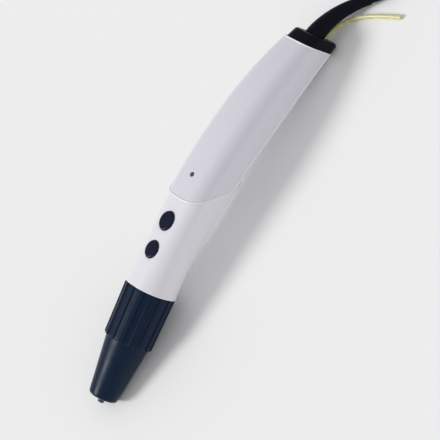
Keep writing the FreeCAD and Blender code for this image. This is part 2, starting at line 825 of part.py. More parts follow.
def motor_can():
    end = MOTOR_START + MOTOR_LENGTH
    can = pipe(MOTOR_R, MOTOR_R - 0.4, MOTOR_START, end)
    front = pipe(MOTOR_R, 0.5, MOTOR_START, MOTOR_START + 0.6)
    boss = pipe(1.3, 0.5, MOTOR_START - 0.5, MOTOR_START)
    return placed(can.fuse(front).fuse(boss), drive_axis())


def motor_magnets():
    """Two arc magnets glued inside the can."""
    start, end = MOTOR_START + 1.6, MOTOR_START + MOTOR_LENGTH - 4.0
    ring = pipe(MOTOR_R - 0.4, MOTOR_R - 1.0, start, end)
    gap = block(start - 1, end + 1, 3 * MOTOR_R, -0.8, 0.8)
    return placed(ring.cut(gap), drive_axis())


def motor_rotor():
    """Armature and shaft with the sun pinion cut on its front end."""
    start, end = MOTOR_START + 2.0, MOTOR_START + MOTOR_LENGTH - 4.5
    core = rod(MOTOR_R - 1.25, start, end)
    for k in range(5):
        slot = block(start - 1, end + 1, 0.5, 1.2, MOTOR_R, 0)
        core = core.cut(placed(slot, Placement(V(0, 0, 0), Rotation(X_AXIS, 72.0 * k))))
    commutator = rod(1.1, end, end + 2.0)
    shaft = rod(0.4, gear_start(), MOTOR_START + MOTOR_LENGTH - 0.3)
    sun = toothed_disc(SUN_TEETH, GEAR_MODULE, 0.0, 0.0, GEAR_WIDTH, gear_start(), GEAR_BACKLASH)
    return placed(core.fuse(commutator).fuse(shaft).fuse(sun), drive_axis())


def motor_end():
    """Brush holder that closes the can, with two solder tags."""
    end = MOTOR_START + MOTOR_LENGTH
    cap = pipe(MOTOR_R - 0.4, 0.5, end - 1.4, end + 0.8)
    for side in (-1.8, 1.8):
        cap = cap.fuse(block(end + 0.5, end + 2.8, 1.4, 2.0, 2.3, side))
    return placed(cap, drive_axis())


def ring_gear():
    """Gearbox shell with the internal teeth and a bearing nose for the output."""
    start = gear_start() - 0.3
    outer = rod(MOTOR_R, GEARBOX_START, MOTOR_START)
    teeth = toothed_disc(RING_TEETH, GEAR_MODULE, 0.1, 0.0, MOTOR_START - start + 1, start,
                         -GEAR_BACKLASH)
    carrier_room = rod(MOTOR_R - 0.8, GEARBOX_START + 1.2, start + 0.01)
    nose = rod(SCREW_SHAFT_R + RUNNING_GAP, GEARBOX_START - 1, GEARBOX_START + 2)
    return placed(outer.cut(teeth).cut(carrier_room).cut(nose), drive_axis())


def planet_pins():
    """Carrier disc, planet pins and the output shaft that holds the feed screw."""
    plate_end = gear_start() - 0.35
    plate = rod(MOTOR_R - 0.95, GEARBOX_START + 1.3, plate_end)
    shaft = rod(SCREW_SHAFT_R, FEEDER_START + 0.2, GEARBOX_START + 1.4)
    carrier = plate.fuse(shaft)
    for k in range(PLANETS):
        turn = math.radians(planet_angle(k))
        y, z = planet_orbit() * math.sin(turn), planet_orbit() * math.cos(turn)
        carrier = carrier.fuse(rod(0.3, plate_end - 0.1, gear_start() + GEAR_WIDTH, y, z))
    return placed(carrier, drive_axis())


def planet(k):
    gear = toothed_disc(PLANET_TEETH, GEAR_MODULE, 0.0, 0.0, GEAR_WIDTH, gear_start(), GEAR_BACKLASH)
    gear = gear.cut(rod(0.3 + RUNNING_GAP, gear_start() - 1, MOTOR_START))
    gear = placed(gear, Placement(V(0, 0, planet_orbit()), Rotation()))
    return placed(placed(gear, Placement(V(0, 0, 0), Rotation(X_AXIS, -planet_angle(k)))), drive_axis())


def feed_screw():
    """Twisted fluted roller whose ridges push the filament forwards."""
    steps = 10
    wires = []
    for k in range(steps + 1):
        x = SCREW_START + SCREW_LENGTH * k / steps
        twist = 2 * math.pi * SCREW_TURNS * k / steps
        points = []
        for lobe in range(SCREW_LOBES):
            for radius, share in ((SCREW_ROOT_R, 0.28), (SCREW_R, 0.46), (SCREW_R, 0.54),
                                  (SCREW_ROOT_R, 0.72)):
                angle = twist + 2 * math.pi * (lobe + share) / SCREW_LOBES
                points.append(V(x, radius * math.sin(angle), radius * math.cos(angle)))
        wires.append(Part.makePolygon(points + [points[0]]))
    roller = Part.makeLoft(wires, True, False)
    bore = rod(SCREW_SHAFT_R, SCREW_START - 1, SCREW_START + SCREW_LENGTH + 1)
    return placed(roller.cut(bore), drive_axis())


def front_bush():
    bush = pipe(BUSH_R, SCREW_SHAFT_R + RUNNING_GAP, FEEDER_START, SCREW_START - 0.4)
    return placed(bush, drive_axis())


def idler_centre():
    return V(SCREW_START + SCREW_LENGTH / 2, 0, filament_height() - FILAMENT_R - IDLER_R - 0.02)


def idler_roller():
    wheel = Part.makeCylinder(IDLER_R, IDLER_WIDTH, V(0, -IDLER_WIDTH / 2, 0), Y_AXIS)
    bore = Part.makeCylinder(IDLER_PIN_R + RUNNING_GAP, IDLER_WIDTH + 2, V(0, -IDLER_WIDTH / 2 - 1, 0), Y_AXIS)
    return placed(placed(wheel.cut(bore), Placement(idler_centre(), Rotation())), drive_frame())


def pressure_lever():
    """Two cheeks and a floor that carry the idler on a pin, turning about the front pivot."""
    centre = idler_centre()
    px, pz = LEVER_PIVOT
    inside = IDLER_WIDTH / 2 + 0.15
    outside = inside + LEVER_CHEEK
    tail = centre.x + IDLER_R + 1.1
    cheeks = []
    for y in (-(inside + LEVER_CHEEK / 2), inside + LEVER_CHEEK / 2):
        cheek = block(px - 1.3, tail, LEVER_CHEEK, centre.z - 0.9, centre.z + 0.9, y)
        cheeks.append(cheek)
    pin = Part.makeCylinder(IDLER_PIN_R, 2 * outside, V(centre.x, -outside, centre.z), Y_AXIS)
    web = block(px + 1.5, centre.x - IDLER_R - 0.4, 2 * outside, centre.z - 0.9, centre.z + 0.1)
    heel = block(centre.x + IDLER_R + 0.3, tail, 2 * outside, centre.z - 0.9, centre.z + 0.1)
    lever = cheeks[0].fuse(cheeks[1]).fuse(pin).fuse(web).fuse(heel)
    pivot = Part.makeCylinder(0.6 + RUNNING_GAP, 4 * outside, V(px, -2 * outside, pz), Y_AXIS)
    return placed(lever.cut(pivot), drive_frame())


def lever_pin():
    px, pz = LEVER_PIVOT
    half = FEEDER_HALF_WIDTH - 1.4
    return placed(Part.makeCylinder(0.6, 2 * half, V(px, -half, pz), Y_AXIS), drive_frame())


def pressure_spring():
    """Leaf under the lever's tail, held in the frame's rear wall."""
    centre = idler_centre()
    low = centre.z - 0.9
    leaf = block(centre.x + IDLER_R + 0.3, FEEDER_END - 1.0, 4.6, low - 0.45, low)
    return placed(leaf, drive_frame())


def feeder_frame(core):
    """Moulded chassis round the feed screw, fitted to the housing's inside."""
    centre = idler_centre()
    frame = block(FEEDER_START, FEEDER_END, 2 * FEEDER_HALF_WIDTH, -12, 12)
    frame = placed(frame, drive_frame()).common(core)
    room = rod(SCREW_R + 0.5, SCREW_START - 0.3, GEARBOX_START, 0, DRIVE_HEIGHT)
    seat = rod(MOTOR_R, GEARBOX_START - 1, FEEDER_END + 1, 0, DRIVE_HEIGHT)
    bush = rod(BUSH_R, FEEDER_START - 1, SCREW_START, 0, DRIVE_HEIGHT)
    groove = rod(FILAMENT_R + 0.3, FEEDER_START - 3, FEEDER_END + 3, 0, filament_height())
    mouth = block(FEEDER_END - 2.5, FEEDER_END + 1, 3.6, filament_height() - 2.6, filament_height() + 1)
    wide = IDLER_WIDTH + 2 * LEVER_CHEEK + 1.2
    pocket = block(LEVER_PIVOT[0] - 1.9, FEEDER_END - 2.4, wide, -13, centre.z + IDLER_R + 0.6)
    px, pz = LEVER_PIVOT
    half = FEEDER_HALF_WIDTH - 1.4
    pivot = Part.makeCylinder(0.6, 2 * half, V(px, -half, pz), Y_AXIS)
    for tool in (room, seat, bush, groove, mouth, pocket, pivot):
        frame = frame.cut(placed(tool, drive_frame()))
    return frame.cut(pressure_spring())


def motor_clamp(core):
    """Saddle that ties the motor can to the housing."""
    x0, x1 = MOTOR_START + 4.0, MOTOR_START + 9.0
    band = placed(block(x0, x1, 24, -1.2 + DRIVE_HEIGHT, 12), drive_frame()).common(core)
    hole = placed(rod(MOTOR_R, x0 - 1, x1 + 1), drive_axis())
    return band.cut(hole)


# Power inlet

def plug_frame():
    return frame_at(REAR_AT, JACK_HEIGHT)


def plug_face():
    """Distance from the rear plane's centre at which the plug body starts, along the plug's axis."""
    return CAP_THICKNESS / math.cos(math.radians(REAR_TILT)) - 2.8


def power_jack():
    length, width, height = JACK_SIZE
    body = block(-JACK_SETBACK - length, 3 * JACK_SETBACK, width, -height / 2, height / 2)
    body = body.cut(rod(PLUG_BARREL_R + 0.1, -JACK_SETBACK - length + 1.2, 4 * JACK_SETBACK))
    pin = rod(PLUG_PIN_R, -JACK_SETBACK - length, -JACK_SETBACK - 1.5)
    return placed(body.fuse(pin), plug_frame()).cut(rear_slab(0.0, 60.0))


def jack_board():
    length, width, height = JACK_SIZE
    board = block(-JACK_SETBACK - length, -JACK_SETBACK, width + 2 * JACK_BOARD_OVERHANG,
                  -height / 2 - JACK_BOARD_THICKNESS, -height / 2)
    return placed(board, plug_frame())


def plug_barrel():
    start = plug_face()
    shell = pipe(PLUG_BARREL_R, PLUG_PIN_R + 0.2, start - PLUG_BARREL_LENGTH, start)
    return placed(shell, plug_frame())


def plug_body():
    start = plug_face()
    body = turned([
        (start, 0), (start, PLUG_R - 0.4), (start + 0.4, PLUG_R), (start + PLUG_LENGTH, PLUG_R),
        (start + PLUG_LENGTH, 0),
    ])
    return placed(body, plug_frame())


def boot_frames(rest):
    """Frames along the strain relief, which bends sideways and level with the table."""
    start = rest.multiply(plug_frame()).multiply(Placement(V(plug_face() + PLUG_LENGTH, 0, 0), Rotation()))
    first = start.Rotation.multVec(X_AXIS)
    turn = math.radians(BOOT_TURN)
    last = V(math.cos(turn), -math.sin(turn), -BOOT_DROP).normalize()
    axis = first.cross(last).normalize()
    whole = first.getAngle(last)
    radius = BOOT_LENGTH / whole
    centre = start.Base + axis.cross(first) * radius
    frames = []
    steps = 6
    for k in range(steps + 1):
        spin = Rotation(axis, math.degrees(whole) * k / steps)
        base = centre + spin.multVec(start.Base - centre)
        frames.append((base, spin.multVec(first)))
    return frames


def plug_boot(frames):
    wires = []
    for k, (base, along) in enumerate(frames):
        share = k / (len(frames) - 1)
        radius = PLUG_R + (BOOT_END_R - PLUG_R) * share
        wires.append(Part.Wire(Part.Circle(base, along, radius).toShape()))
    return Part.makeLoft(wires, True, False)


# Cable hank

def hank_lanes():
    """Sideways place and layer of each run, starting on the near side at the floor."""
    runs = []
    step = HANK_LANE / 2
    count = HANK_HALF_LOOPS
    for layer in range(HANK_LAYERS):
        inwards = layer % 2 == 0
        for k in range(count + (1 if layer == 0 else 0)):
            at = count - k if inwards else k + 1
            if inwards and layer > 0:
                at = count - 1 - k
            runs.append((at * step, layer))
    return runs


def hank_segments(centre):
    """Runs and folds of the hank as (kind, start, end, direction) in the resting frame."""
    lanes = hank_lanes()
    floor = TIE_THICKNESS + TIE_GAP + CABLE_R
    segments = []
    direction = 1
    previous = None
    for k, (offset, layer) in enumerate(lanes):
        side = -1 if k % 2 == 0 else 1
        y = side * (HANK_INNER_HALF + offset)
        z = floor + HANK_LAYER * layer
        later = lanes[k + 1][1] if k + 1 < len(lanes) else layer
        climb = floor + HANK_LAYER * later
        start = V(centre.x - direction * HANK_RUN / 2, centre.y + y, z)
        end = V(centre.x + direction * HANK_RUN / 2, centre.y + y, climb)
        if previous is not None:
            segments.append(("fold", previous, start, -direction))
        segments.append(("run", start, end, direction))
        previous = end
        direction = -direction
    return segments


def hank_edges(segments, centre):
    """Arcs of the hank: two S-bends along each run, half circles at the folds."""
    edges = []
    for kind, start, end, direction in segments:
        if kind == "fold":
            middle = (start + end) / 2
            reach = (end - start).Length / 2
            edges.append(arc(start, middle + X_AXIS * direction * reach, end))
            continue
        side = 1 if start.y > centre.y else -1
        waist = V(centre.x, start.y - side * HANK_WAIST, (start.z + end.z) / 2)
        edges += s_bend(start, waist, direction) + s_bend(waist, end, direction)
    return edges


def s_bend(a, b, direction):
    """Two equal arcs from a to b, both ends running along X."""
    aside = V(0, b.y - a.y, b.z - a.z)
    if aside.Length < 1e-6:
        return [Part.makeLine(a, b)]
    way = V(aside).normalize()
    along = abs(b.x - a.x)
    half = math.atan2(aside.Length, along)
    radius = (along ** 2 + aside.Length ** 2) / (4 * aside.Length)
    middle = (a + b) / 2
    run = X_AXIS * direction
    first = a + run * (radius * math.sin(half)) + way * (radius * (1 - math.cos(half)))
    second = b - run * (radius * math.sin(half)) - way * (radius * (1 - math.cos(half)))
    return [arc(a, first, middle), arc(middle, second, b)]


def least_gap(edges, step=1.0, apart=14.0):
    """Least clear distance between turns of a tube along the edges."""
    points = []
    travelled = 0.0
    for edge in edges:
        count = max(2, int(edge.Length / step))
        for p in edge.discretize(count + 1)[:-1]:
            points.append((travelled, p))
        travelled += edge.Length
    spacing = travelled / len(points)
    least = 1e9
    for i, (_, p) in enumerate(points):
        for j in range(i + int(apart / spacing), len(points)):
            q = points[j][1]
            if abs(p.x - q.x) < 4 and abs(p.y - q.y) < 4 and abs(p.z - q.z) < 4:
                least = min(least, (p - q).Length)
    return least - 2 * CABLE_R


def cable_tie(centre):
    """Flat strap round the hank's waist."""
    near = HANK_INNER_HALF + HANK_LANE / 2 * HANK_HALF_LOOPS - HANK_WAIST + CABLE_R + TIE_GAP
    far = HANK_INNER_HALF + HANK_LANE / 2 * (HANK_HALF_LOOPS - 1) - HANK_WAIST + CABLE_R + TIE_GAP
    top = TIE_THICKNESS + 2 * TIE_GAP + 2 * CABLE_R + HANK_LAYER * (HANK_LAYERS - 1)
    grow = TIE_THICKNESS

    def slab(g):
        box = Part.makeBox(TIE_WIDTH + (2 if g == 0 else 0), near + far + 2 * g, top - TIE_THICKNESS + 2 * g,
                           V(centre.x - TIE_WIDTH / 2 - (1 if g == 0 else 0), centre.y - near - g,
                             TIE_THICKNESS - g))
        along = [e for e in box.Edges if e.BoundBox.XLength > TIE_WIDTH * 0.9]
        return box.makeFillet(CABLE_R + TIE_GAP + g, along)

    return slab(grow).cut(slab(0.0))


def usb_frame(centre):
    """Cable end of the far plug, lying along the hank's top and pointing towards the pen."""
    length = USB_BODY[0]
    top = 2 * TIE_THICKNESS + 2 * TIE_GAP + 2 * CABLE_R + HANK_LAYER * (HANK_LAYERS - 1)
    x = centre.x + length / 2 - 1.0
    return Placement(V(x, centre.y + USB_SIDE, top + USB_BODY[2] / 2), Rotation(Z_AXIS, 180))


def usb_body(centre):
    length, width, height = USB_BODY
    body = block(0, length, width, -height / 2, height / 2)
    body = body.makeFillet(2.2, [e for e in body.Edges if e.BoundBox.XLength > length * 0.9])
    relief = turned([(-USB_RELIEF, 0), (-USB_RELIEF, BOOT_END_R), (0.5, 2.9), (0.5, 0)])
    return placed(body.fuse(relief), usb_frame(centre))


def usb_shell(centre):
    start = USB_BODY[0]
    length, width, height = USB_SHELL
    shell = block(start, start + length, width, -height / 2, height / 2)
    wall = USB_SHELL_WALL
    shell = shell.cut(block(start + 1, start + length + 1, width - 2 * wall, -height / 2 + wall,
                            height / 2 - wall))
    return placed(shell, usb_frame(centre))


def usb_tongue(centre):
    start = USB_BODY[0] + 1.0
    length, width, height = USB_TONGUE
    low = -USB_SHELL[2] / 2 + USB_SHELL_WALL
    return placed(block(start, start + length + 8, width, low, low + height), usb_frame(centre))


# The whole pen

def build():
    points = filament_points()
    outline = housing_solid(0.0)
    proud = housing_solid(LID_PROUD)
    core = housing_solid(-WALL)
    nodes = {
        "lower_housing": lower_housing(outline, core),
        "top_cover": top_cover(proud, core),
        "tip_cover": tip_cover(),
        "rear_cap": rear_cap(),
        "housing_screws": housing_screws(),
        "rear_button": button(REAR_BUTTON_AT, REAR_BUTTON_SIZE),
        "front_button": button(FRONT_BUTTON_AT, FRONT_BUTTON_SIZE),
        "rear_switch_plunger": plunger(REAR_BUTTON_AT),
        "front_switch_plunger": plunger(FRONT_BUTTON_AT),
        "switch_bases": switches(),
        "control_board": control_board(),
        "board_chips": board_chips(),
        "light_lens": light_lens(),
        "light_guide": light_guide(),
        "light_emitter": light_emitter(),
        "nozzle": nozzle(),
        "melt_barrel": melt_barrel(),
        "heater_tube": heater_tube(),
        "thermistor": thermistor(),
        "insulator_sleeve": insulator_sleeve(),
        "hot_end_holder": hot_end_holder(),
        "feed_guide": feed_guide(points),
        "inlet_guide": inlet_guide(points),
        "loaded_filament": loaded_filament(points),
        "motor_can": motor_can(),
        "motor_magnets": motor_magnets(),
        "motor_rotor": motor_rotor(),
        "motor_end": motor_end(),
        "ring_gear": ring_gear(),
        "planet_carrier": planet_pins(),
        "feed_screw": feed_screw(),
        "front_bush": front_bush(),
        "idler_roller": idler_roller(),
        "pressure_lever": pressure_lever(),
        "lever_pin": lever_pin(),
        "pressure_spring": pressure_spring(),
        "feeder_frame": feeder_frame(core),
        "motor_clamp": motor_clamp(core),
        "power_jack": power_jack(),
        "jack_board": jack_board(),
        "plug_barrel": plug_barrel(),
        "plug_body": plug_body(),
    }
    for k in range(PLANETS):
        nodes[f"planet_gear_{k + 1}"] = planet(k)
    return nodes


ON_THE_CORD = ("plug_barrel", "plug_body")


def resting_frame(nodes):
    """Turns and moves the pen so that its tip cover and its rear stand on the table."""

    def pitched(angle):
        return Placement(V(0, 0, 0), Rotation(Y_AXIS, angle))

    low, high = -25.0, 5.0
    for _ in range(18):
        middle = (low + high) / 2
        rest = pitched(middle)
        tip = placed(nodes["tip_cover"], rest).optimalBoundingBox(False).ZMin
        rear = min(placed(nodes[n], rest).optimalBoundingBox(False).ZMin for n in ("rear_cap", "lower_housing"))
        if tip < rear:
            low = middle
        else:
            high = middle
    rest = pitched((low + high) / 2)
    box = FreeCAD.BoundBox()
    for name, shape in nodes.items():
        if name not in ON_THE_CORD:
            box.add(placed(shape, rest).optimalBoundingBox(False))
    shift = V(-(box.XMin + box.XMax) / 2, -(box.YMin + box.YMax) / 2, -box.ZMin)
    return Placement(shift, Rotation()).multiply(rest)


def cords(rest):
    frames = boot_frames(rest)
    centre = V(HANK_AT, 0, 0)
    start, along = frames[-1]
    segments = hank_segments(centre)
    edges = hank_edges(segments, centre)
    last_run_end = segments[-1][2]
    plug_start = usb_frame(centre).multVec(V(-USB_RELIEF, 0, 0))
    run_out = X_AXIS * (segments[-1][3] * HANK_TAIL)
    leave = last_run_end + run_out
    beyond = V(leave.x, plug_start.y, plug_start.z)
    middle = (leave + beyond) / 2
    reach = (beyond - leave).Length / 2
    edges.append(Part.makeLine(last_run_end, leave))
    edges.append(arc(leave, middle + run_out.normalize() * reach, beyond))
    edges.append(Part.makeLine(beyond, plug_start))
    hank_start = segments[0][1]
    landing = hank_start - X_AXIS * CABLE_LANDING
    lead_points = [start, start + along * CABLE_STRAIGHT] + [V(*p) for p in CABLE_LEAD] + [landing, hank_start]
    lead, radii = rounded_route(lead_points)
    report("power_cable", lead.Length, radii, CABLE_R)
    print("cable_hank length", round(sum(e.Length for e in edges), 1), "least gap", round(least_gap(edges), 2))
    inlet = rest.multVec(filament_points()[-1])
    along = rest.multVec(filament_points()[-1]) - rest.multVec(filament_points()[-2])
    strand_points = [inlet, inlet + along.normalize() * STRAND_STRAIGHT] + [V(*p) for p in STRAND_ROUTE]
    strand, strand_radii = rounded_route(strand_points)
    report("filament_strand", strand.Length, strand_radii, FILAMENT_R)
    return {
        "plug_boot": plug_boot(frames),
        "power_cable": swept(lead, CABLE_R),
        "cable_hank": swept(Part.Wire(edges), CABLE_R),
        "cable_tie": cable_tie(centre),
        "usb_body": usb_body(centre),
        "usb_shell": usb_shell(centre),
        "usb_tongue": usb_tongue(centre),
        "filament_strand": swept(strand, FILAMENT_R),
    }


def report(name, length, radii, radius):
    print(name, "length", round(length, 1), "radii in diameters", [round(r / radius / 2, 1) for r in radii])


def main():
    os.makedirs(PARTS, exist_ok=True)
    nodes = build()
    rest = resting_frame(nodes)
    nodes = {name: placed(shape, rest) for name, shape in nodes.items()}
    nodes.update(cords(rest))
    for name, shape in nodes.items():
        solids = shape.Solids
        if not shape.isValid() or not solids:
            print("PROBLEM", name, "valid", shape.isValid(), "solids", len(solids))
        body = solids[0] if len(solids) == 1 else Part.makeCompound(solids)
        body.exportStep(os.path.join(PARTS, name + ".step"))
    print("nodes", len(nodes), "pitch", rest.Rotation.toEuler())
    return nodes, rest


main()
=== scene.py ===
import json
import math

import bmesh
import bpy
from mathutils import Matrix, Vector


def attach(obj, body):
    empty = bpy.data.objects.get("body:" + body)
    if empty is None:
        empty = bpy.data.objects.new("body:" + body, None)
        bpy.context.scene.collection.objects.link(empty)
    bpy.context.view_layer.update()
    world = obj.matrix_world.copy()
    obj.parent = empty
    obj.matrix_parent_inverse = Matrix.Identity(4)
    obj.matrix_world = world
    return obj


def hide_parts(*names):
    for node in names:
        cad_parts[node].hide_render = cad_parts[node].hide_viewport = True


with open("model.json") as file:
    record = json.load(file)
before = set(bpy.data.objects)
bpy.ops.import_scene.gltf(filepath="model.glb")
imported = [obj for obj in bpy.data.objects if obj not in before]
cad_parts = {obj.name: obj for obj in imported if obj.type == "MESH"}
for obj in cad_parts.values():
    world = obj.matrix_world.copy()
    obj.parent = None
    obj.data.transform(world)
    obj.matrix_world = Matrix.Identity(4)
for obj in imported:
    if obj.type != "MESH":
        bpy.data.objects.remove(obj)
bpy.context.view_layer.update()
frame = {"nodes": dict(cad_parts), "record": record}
nodes = frame["nodes"]
scene = bpy.context.scene

PEN = "pen"
MM_PER_M = 1000


def add_object(name, data):
    obj = bpy.data.objects.new(name, data)
    scene.collection.objects.link(obj)
    return obj


def add_tube(name, kind, places, radius, ring_steps):
    """Curve object of one spline along these places in metres, with a round section."""
    data = bpy.data.curves.new(name, "CURVE")
    data.dimensions = "3D"
    data.bevel_depth = radius
    data.bevel_resolution = ring_steps
    line = data.splines.new(kind)
    line.points.add(len(places) - 1)
    for point, place in zip(line.points, places):
        point.co = (*place, 1.0)
    return add_object(name, data), line


# Cords: places in millimetres, the same as the CAD routes

CABLE_D = 0.003
BOOT_END = Vector((103.289, -9.697, 3.102))
BOOT_WAY = Vector((0.6357, -0.7576, -0.1483))
CABLE_STRAIGHT = 6.0
LEAD_POINTS = [(112.5, -17.9, 2.0), (120.2, -19.8, 1.9), (129.2, -18.7, 2.1), (141.0, -13.7, 2.45)]

STRAND_D = 0.00175
STRAND_START = Vector((81.992, 0.0, 2.662))
STRAND_WAY = Vector((0.9615, 0.0, -0.2749))
STRAND_STRAIGHT = 4.2
STRAND_POINTS = [(90.1, -1.45, 0.95), (93.9, -4.9, 0.88), (97.2, -10.7, 0.88),
                 (100.3, -18.1, 0.88), (102.6, -25.2, 0.88)]

HANK_AT = 176.0
HANK_RUN = 52.0
HANK_INNER_HALF = 8.3
HANK_LANE = 3.6
HANK_LAYER = 3.45
HANK_FLOOR = 2.45
HANK_WAIST = 2.6
HANK_TAIL = 6.0
# Lane and layer of each run, in winding order
HANK_RUNS = [(3, 0), (2, 0), (1, 0), (0, 0), (1, 1), (2, 1), (3, 1), (2, 2), (1, 2), (0, 2),
             (1, 3), (2, 3), (3, 3)]
# Share of a run's length, and how much of HANK_WAIST pulls it in there
WAIST_PULLS = [(0.0, 0), (0.22, 0.12), (0.38, 0.75), (0.5, 1.12), (0.62, 0.75), (0.78, 0.12),
               (1.0, 0)]
FOLD_STEPS = 6
USB_START = Vector((196.0, 4.4, 19.15))

CORD_ORDER = 3
CORD_STEPS = 8
CORD_RING_STEPS = 6


def cord_curve(name, places_mm, diameter):
    """Round cord along a NURBS spline with these control points, given in millimetres."""
    places = [Vector(place) / MM_PER_M for place in places_mm]
    obj, line = add_tube(name, "NURBS", places, diameter / 2, CORD_RING_STEPS)
    obj.data.use_fill_caps = True
    line.order_u = CORD_ORDER
    line.use_endpoint_u = True
    line.resolution_u = CORD_STEPS
    return obj


def fold_points(start, end, way):
    """Control points round half an ellipse from start to end, bulging along X."""
    middle = (start + end) / 2
    arm = start - middle
    grow = 1 / math.cos(math.pi / FOLD_STEPS / 2) ** 2
    points = []
    for k in range(FOLD_STEPS):
        turn = math.pi * (k + 0.5) / FOLD_STEPS
        bulge = Vector((way * arm.length * math.sin(turn), 0, 0))
        points.append(middle + (arm * math.cos(turn) + bulge) * grow)
    return points


def hank_points():
    """Control points of the wound length, then its tail up to the plug."""
    points = []
    way = 1
    previous = None
    for k, (lane, layer) in enumerate(HANK_RUNS):
        side = -way
        y = side * (HANK_INNER_HALF + lane * HANK_LANE / 2)
        low = HANK_FLOOR + HANK_LAYER * layer
        next_layer = HANK_RUNS[min(k + 1, len(HANK_RUNS) - 1)][1]
        high = HANK_FLOOR + HANK_LAYER * next_layer
        start = Vector((HANK_AT - way * HANK_RUN / 2, y, low))
        end = Vector((HANK_AT + way * HANK_RUN / 2, y, high))
        if previous is not None:
            points += fold_points(previous, start, -way)
        waist = Vector((0, -side * HANK_WAIST, 0))
        for share, pull in WAIST_PULLS:
            lift = 0.5 - 0.5 * math.cos(math.pi * share)
            place = start.lerp(end, share)
            place.z = low + (high - low) * lift
            points.append(place + waist * pull)
        previous = end
        way = -way
    last_way = -way
    leave = previous + Vector((last_way * HANK_TAIL, 0, 0))
    beyond = Vector((leave.x, USB_START.y, USB_START.z))
    return points + [leave] + fold_points(leave, beyond, last_way) + [beyond, USB_START]


cable = cord_curve("supply_cable", [
    BOOT_END, BOOT_END + BOOT_WAY * CABLE_STRAIGHT, *LEAD_POINTS, *hank_points()], CABLE_D)
strand = cord_curve("filament_end", [
    STRAND_START, STRAND_START + STRAND_WAY * STRAND_STRAIGHT, *STRAND_POINTS], STRAND_D)


# Camera at the printed picture's viewing angle

LIFT = 40.0
ROLL = 58.85
FRAME_WIDTH = 0.169
DISTANCE = 0.95
SENSOR_MM = 36.0
TIP_FACE = Vector((-0.0803, 0.0, 0.00557))
# How far the picture's centre lies right of and above the tip face, in frame widths
AIM_RIGHT = 0.2672
AIM_UP = 0.4034


def camera_axes(lift, roll):
    s, c = math.sin(math.radians(lift)), math.cos(math.radians(lift))
    sr, cr = math.sin(math.radians(roll)), math.cos(math.radians(roll))
    right = Vector((cr, -sr * c, -sr * s))
    up = Vector((sr, cr * c, cr * s))
    back = Vector((0, -s, c))
    return right, up, back


right, up, back = camera_axes(LIFT, ROLL)
aim = TIP_FACE + right * (AIM_RIGHT * FRAME_WIDTH) + up * (AIM_UP * FRAME_WIDTH)
camera = add_object("camera", bpy.data.cameras.new("camera"))
scene.camera = camera
camera.matrix_world = Matrix((right, up, back)).transposed().to_4x4()
camera.location = aim + back * DISTANCE
camera.data.sensor_width = SENSOR_MM
camera.data.lens = SENSOR_MM * DISTANCE / FRAME_WIDTH
camera.data.clip_start = 0.01
camera.data.clip_end = 20.0


# Materials: noise scales count features to the metre, bump depths are in metres

def shader(name):
    material = bpy.data.materials.new(name)
    material.use_nodes = True
    tree = material.node_tree
    return material, tree, tree.nodes["Principled BSDF"]


def set_inputs(node, **values):
    """Sets inputs by name, with _ for each space."""
    for name, value in values.items():
        node.inputs[name.replace("_", " ")].default_value = value


def noise(tree, scale, detail=3.0):
    place = tree.nodes.new("ShaderNodeTexCoord")
    node = tree.nodes.new("ShaderNodeTexNoise")
    set_inputs(node, Scale=scale, Detail=detail)
    tree.links.new(place.outputs["Object"], node.inputs["Vector"])
    return node.outputs["Fac"]


# The span that nearly all of a noise texture's values fill
NOISE_LOW = 0.3
NOISE_HIGH = 0.7


def spread(tree, value, low, high):
    node = tree.nodes.new("ShaderNodeMapRange")
    set_inputs(node, From_Min=NOISE_LOW, From_Max=NOISE_HIGH, To_Min=low, To_Max=high)
    tree.links.new(value, node.inputs["Value"])
    return node.outputs["Result"]


def tinted(tree, value, first, second):
    node = tree.nodes.new("ShaderNodeMix")
    node.data_type = "RGBA"
    set_inputs(node, A=(*first, 1), B=(*second, 1))
    tree.links.new(value, node.inputs["Factor"])
    return node.outputs["Result"]


def bumped(tree, bsdf, value, strength, distance):
    node = tree.nodes.new("ShaderNodeBump")
    set_inputs(node, Strength=strength, Distance=distance)
    tree.links.new(value, node.inputs["Height"])
    tree.links.new(node.outputs["Normal"], bsdf.inputs["Normal"])


def scaled(colour, k):
    return tuple(min(1.0, c * k) for c in colour)


PLASTIC_DRIFT_SCALE = 35.0
PLASTIC_GLOSS_SCALE = 140.0
PLASTIC_GRAIN_STRENGTH = 0.25
COAT_ROUGHNESS = 0.12
SKIN_RADIUS = (0.0012, 0.0010, 0.0010)


def plastic(name, colour, rough=(0.32, 0.42), grain=900.0, depth=0.00004, drift=0.06, coat=0.0,
            skin=0.0, shine=0.5):
    """Moulded plastic: a slow drift of colour, uneven gloss and a fine mould grain."""
    material, tree, bsdf = shader(name)
    slow = noise(tree, PLASTIC_DRIFT_SCALE, 4.0)
    base = tinted(tree, slow, scaled(colour, 1 - drift), scaled(colour, 1 + drift))
    gloss = spread(tree, noise(tree, PLASTIC_GLOSS_SCALE, 5.0), *rough)
    tree.links.new(base, bsdf.inputs["Base Color"])
    tree.links.new(gloss, bsdf.inputs["Roughness"])
    bumped(tree, bsdf, noise(tree, grain, 2.0), PLASTIC_GRAIN_STRENGTH, depth)
    set_inputs(bsdf, Specular_IOR_Level=shine, Coat_Weight=coat, Coat_Roughness=COAT_ROUGHNESS)
    if skin:
        set_inputs(bsdf, Subsurface_Weight=skin, Subsurface_Radius=SKIN_RADIUS,
                   Subsurface_Scale=1.0)
    return material


METAL_DARK = 0.86
METAL_PALE = 1.08
METAL_LINE_STRENGTH = 0.15
METAL_LINE_DEPTH = 0.00002


